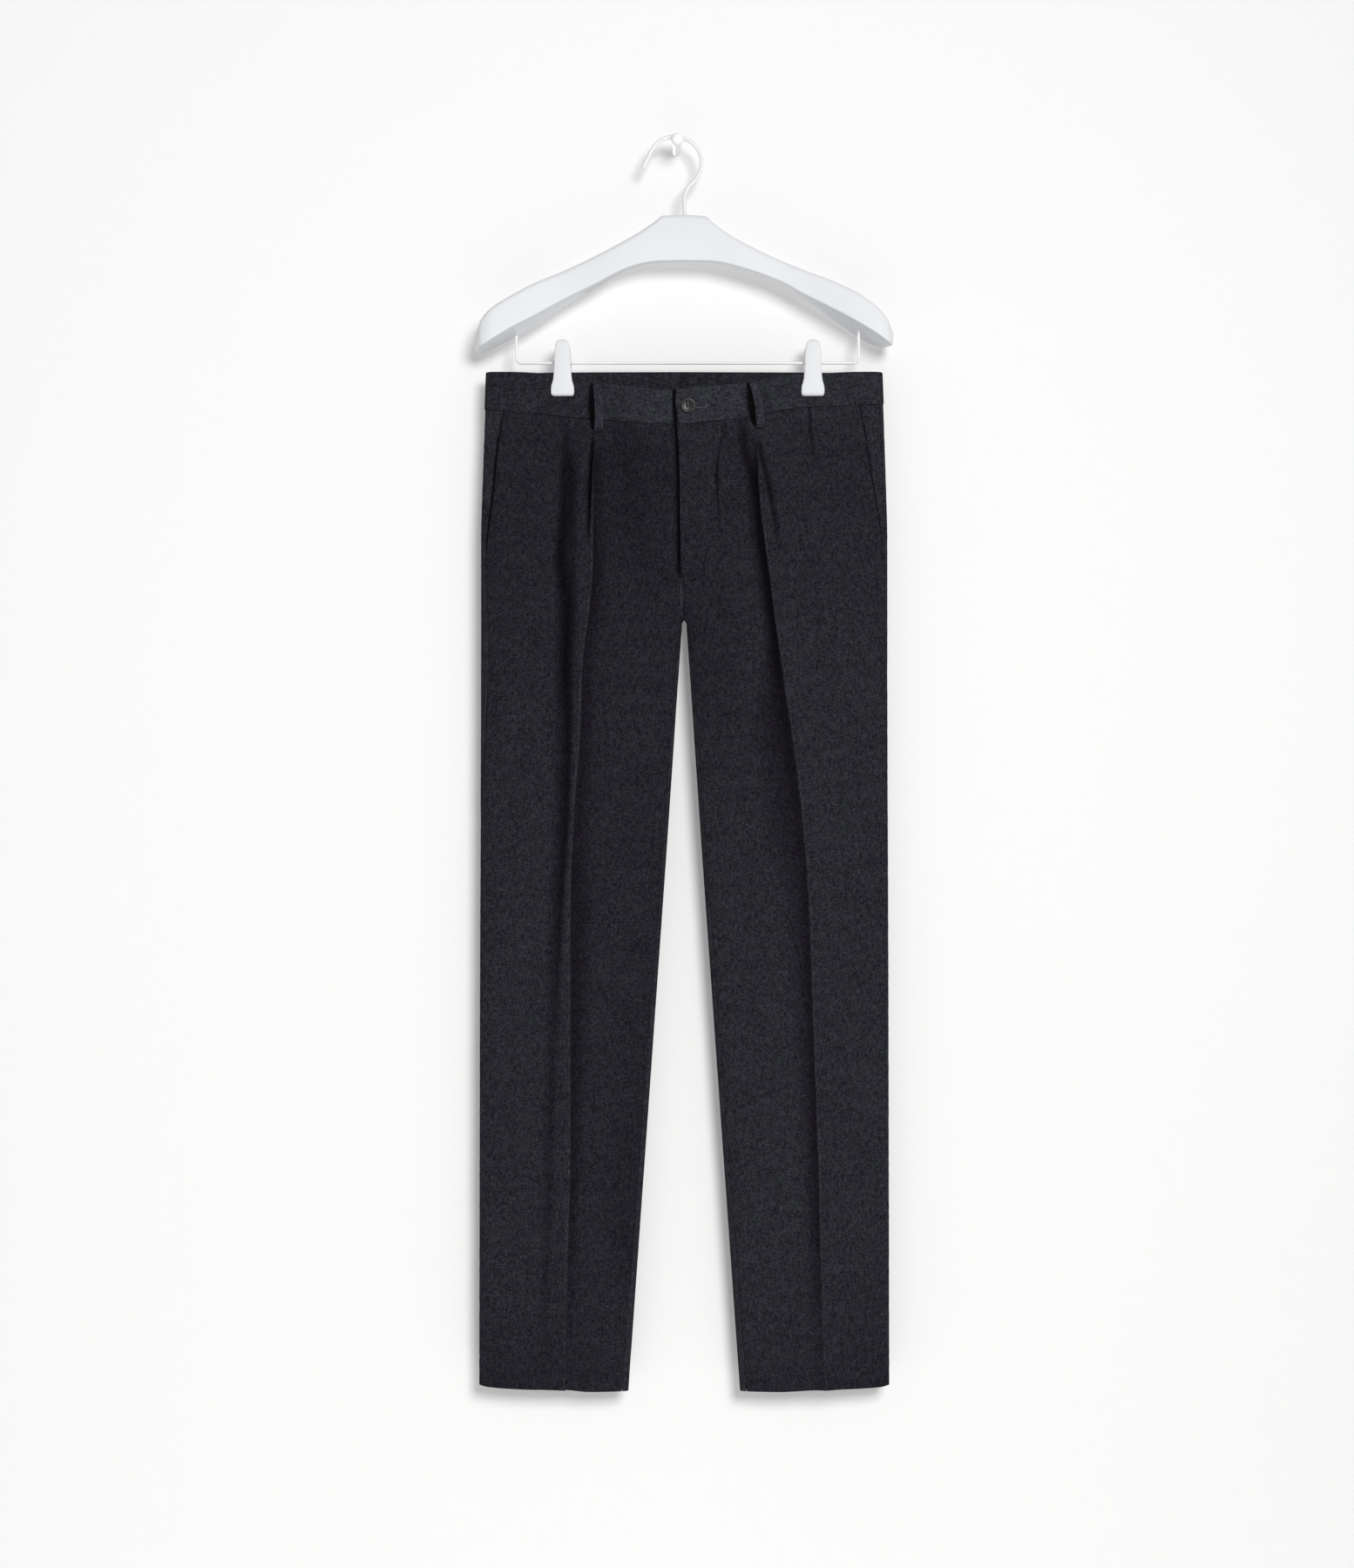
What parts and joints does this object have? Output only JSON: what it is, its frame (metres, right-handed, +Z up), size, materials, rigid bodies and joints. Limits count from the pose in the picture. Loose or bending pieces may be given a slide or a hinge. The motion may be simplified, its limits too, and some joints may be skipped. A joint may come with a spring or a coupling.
{
  "type": "linen trousers on a clip hanger and wall peg",
  "caption": "Dark linen pleated trousers with pressed creases, slant pockets and a buttoned waistband, hanging flat by their waist from a white clip hanger on a wall peg.",
  "frame": {"origin": "centre of the wall peg's flat back face, on the wall", "axes": "+Y into the wall, so the front of the trousers faces -Y; +Z up; +X to the wearer's left, the viewer's right"},
  "size_m": [0.442, 0.0549, 1.3406],
  "materials": {
    "linen": "plain linen weave, slubbed, matt, dark charcoal with a navy cast",
    "horn": "dark horn, polished",
    "hanger_white": "white lacquer, satin",
    "wire_white": "white enamelled wire, gloss",
    "clip_white": "white moulded plastic, satin",
    "peg_white": "white lacquer, satin"
  },
  "bodies": {
    "root": {"front_left": "linen", "front_right": "linen", "back_left": "linen", "back_right": "linen", "waistband_left": "linen", "waistband_right": "linen", "pocket_facing_left": "linen", "pocket_facing_right": "linen", "loop_front_left": "linen", "loop_front_right": "linen", "loop_back_left": "linen", "loop_back_right": "linen", "loop_centre_back": "linen", "waist_button": "horn", "hanger_body": "hanger_white", "hanger_hook": "wire_white", "hanger_bar": "wire_white", "clip_left_front_jaw": "clip_white", "clip_left_back_jaw": "clip_white", "clip_left_sleeve": "clip_white", "clip_right_front_jaw": "clip_white", "clip_right_back_jaw": "clip_white", "clip_right_sleeve": "clip_white", "wall_peg": "peg_white"}
  },
  "joints": []
}
